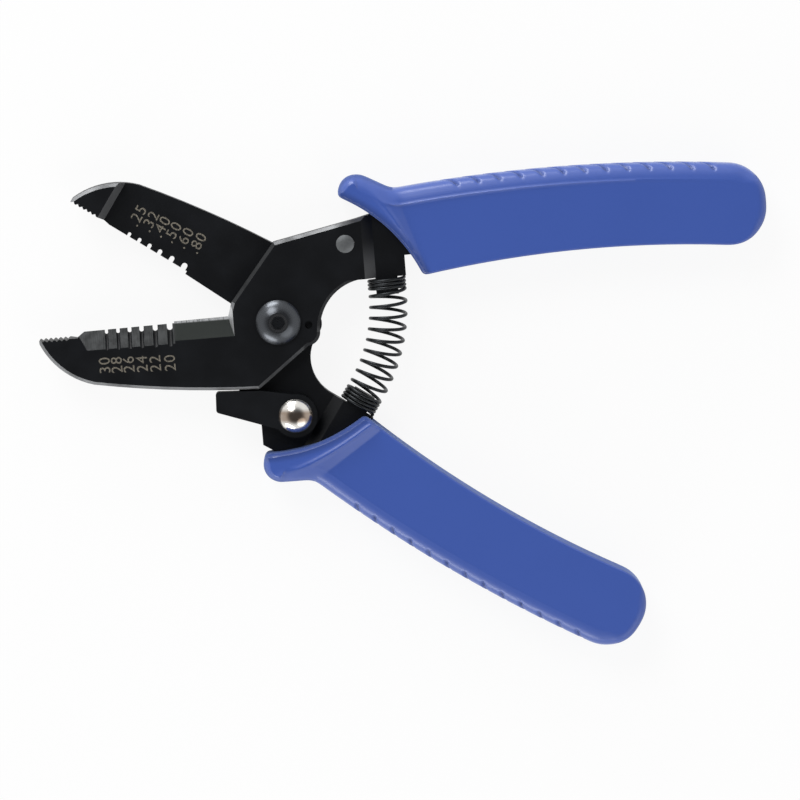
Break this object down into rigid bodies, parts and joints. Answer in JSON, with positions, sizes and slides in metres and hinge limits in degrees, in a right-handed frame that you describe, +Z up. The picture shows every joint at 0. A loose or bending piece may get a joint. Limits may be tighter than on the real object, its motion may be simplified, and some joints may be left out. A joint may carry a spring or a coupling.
{
  "type": "wire stripping pliers",
  "caption": "Hand pliers for stripping fine wire: two lapped steel halves with notched bypass blades, a wire cutter, gripping nose, coil return spring, lock lever and moulded grips.",
  "frame": {"origin": "under the middle of the open pliers' bounding box, on the surface they lie on", "axes": "+X along the middle line from the jaws to the handles, +Y towards the front half's handle, +Z up from the surface, out of the face with the button head and the rivet"},
  "size_m": [0.1586, 0.1174, 0.0126],
  "materials": {
    "black_steel": "black oxide on ground tool steel",
    "dark_screw": "blackened screw steel, worn on the dome",
    "bare_steel": "dull bare steel",
    "bright_rivet": "bright nickel-plated dome",
    "blue_grip": "satin moulded vinyl",
    "spring_wire": "dark oil-finished spring wire"
  },
  "bodies": {
    "rear_half": {"rear_plate": "black_steel", "lower_grip": "blue_grip", "pivot_screw": "dark_screw", "pivot_nut": "dark_screw", "lock_rivet": "bright_rivet", "lock_washer": "bare_steel", "return_spring": "spring_wire"},
    "front_half": {"front_plate": "black_steel", "upper_grip": "blue_grip", "stop_pin": "bare_steel"},
    "lock": {"lock_lever": "black_steel"}
  },
  "joints": [
    {"name": "jaw_pivot", "type": "hinge", "parent": "rear_half", "child": "front_half", "pos_m": [-0.02596, -0.00101, 0.0063], "axis": [0, 0, -1], "range_deg": [0, 34.6], "stiffness_Nm_per_rad": 1, "springref_deg": -22.92, "deforming": ["return_spring"]},
    {"name": "lock_pivot", "type": "hinge", "parent": "rear_half", "child": "lock", "pos_m": [-0.01711, -0.0216, 0.0063], "axis": [0, 0, 1], "range_deg": [0, 35]}
  ]
}
